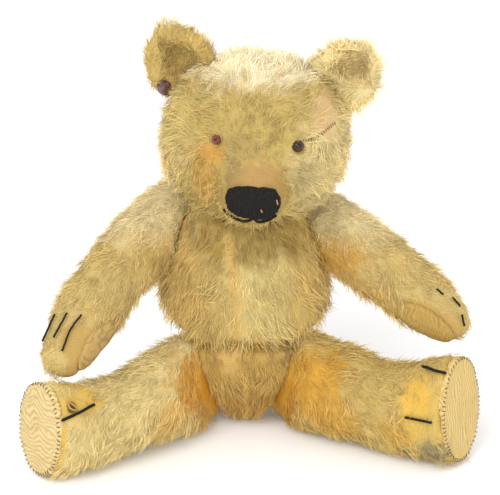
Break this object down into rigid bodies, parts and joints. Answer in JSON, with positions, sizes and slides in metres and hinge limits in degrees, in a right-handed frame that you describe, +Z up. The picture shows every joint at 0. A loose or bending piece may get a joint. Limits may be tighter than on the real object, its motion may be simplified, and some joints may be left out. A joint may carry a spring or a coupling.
{
  "type": "jointed teddy bear",
  "caption": "Worn golden mohair teddy bear with disc joints at neck, shoulders and hips, sitting with its paws resting on its feet",
  "frame": {"origin": "centre of the flat of the seat, on the floor", "axes": "+Z up, +X to the bear's left, the bear faces -Y"},
  "size_m": [0.3396, 0.1935, 0.3108],
  "materials": {
    "mohair": "worn golden mohair plush, matted and partly bald",
    "wood_wool": "packed wood wool filling",
    "hardboard": "pressed brown board discs",
    "steel": "dull steel pins and washers",
    "linen": "woven linen pads, wrinkled and dirty",
    "black_wool": "black woollen thread, satin stitched, partly lost",
    "brown_glass": "dark brown glass eyes on wire shanks",
    "brown_tin": "plain brown stud, scuffed"
  },
  "bodies": {
    "torso": {"torso_cover": "mohair", "torso_filling": "wood_wool", "neck_disc_body": "hardboard", "neck_washer_body": "steel", "neck_split_pin": "steel", "shoulder_right_disc_body": "hardboard", "shoulder_right_washer_body": "steel", "shoulder_right_split_pin": "steel", "shoulder_left_disc_body": "hardboard", "shoulder_left_washer_body": "steel", "shoulder_left_split_pin": "steel", "hip_right_disc_body": "hardboard", "hip_right_washer_body": "steel", "hip_right_split_pin": "steel", "hip_left_disc_body": "hardboard", "hip_left_washer_body": "steel", "hip_left_split_pin": "steel"},
    "head": {"neck_disc_limb": "hardboard", "neck_washer_limb": "steel", "eye_right": "brown_glass", "eye_left": "brown_glass", "head_cover": "mohair", "head_filling": "wood_wool", "ear_right": "mohair", "ear_left": "mohair", "nose": "black_wool", "mouth_right": "black_wool", "mouth_left": "black_wool", "ear_stud": "brown_tin"},
    "arm_right": {"shoulder_right_disc_limb": "hardboard", "shoulder_right_washer_limb": "steel", "arm_right_cover": "mohair", "arm_right_filling": "wood_wool", "arm_right_paw_pad": "linen", "claw_arm_right_1": "black_wool", "claw_arm_right_2": "black_wool", "claw_arm_right_3": "black_wool"},
    "arm_left": {"shoulder_left_disc_limb": "hardboard", "shoulder_left_washer_limb": "steel", "arm_left_cover": "mohair", "arm_left_filling": "wood_wool", "arm_left_paw_pad": "linen", "claw_arm_left_1": "black_wool", "claw_arm_left_2": "black_wool", "claw_arm_left_3": "black_wool"},
    "leg_right": {"hip_right_disc_limb": "hardboard", "hip_right_washer_limb": "steel", "leg_right_cover": "mohair", "leg_right_filling": "wood_wool", "leg_right_sole_pad": "linen", "claw_leg_right": "black_wool"},
    "leg_left": {"hip_left_disc_limb": "hardboard", "hip_left_washer_limb": "steel", "leg_left_cover": "mohair", "leg_left_filling": "wood_wool", "leg_left_sole_pad": "linen", "claw_leg_left_1": "black_wool", "claw_leg_left_2": "black_wool"}
  },
  "joints": [
    {"name": "neck_joint", "type": "hinge", "parent": "torso", "child": "head", "pos_m": [0.003, -0.004, 0.17], "axis": [0.0888, -0.1381, 0.9864], "range_deg": [-60, 60]},
    {"name": "shoulder_right_joint", "type": "hinge", "parent": "torso", "child": "arm_right", "pos_m": [-0.048, -0.002, 0.15], "axis": [-0.9309, 0.0601, 0.3603], "range_deg": [0, 60]},
    {"name": "shoulder_left_joint", "type": "hinge", "parent": "torso", "child": "arm_left", "pos_m": [0.05, 0, 0.144], "axis": [-0.9279, -0.0998, -0.3592], "range_deg": [0, 40]},
    {"name": "hip_right_joint", "type": "hinge", "parent": "torso", "child": "leg_right", "pos_m": [-0.018, -0.023, 0.04], "axis": [0.8841, -0.4219, 0.2009], "range_deg": [0, 60]},
    {"name": "hip_left_joint", "type": "hinge", "parent": "torso", "child": "leg_left", "pos_m": [0.018, -0.021, 0.04], "axis": [0.8841, 0.4219, -0.2009], "range_deg": [0, 60]}
  ]
}
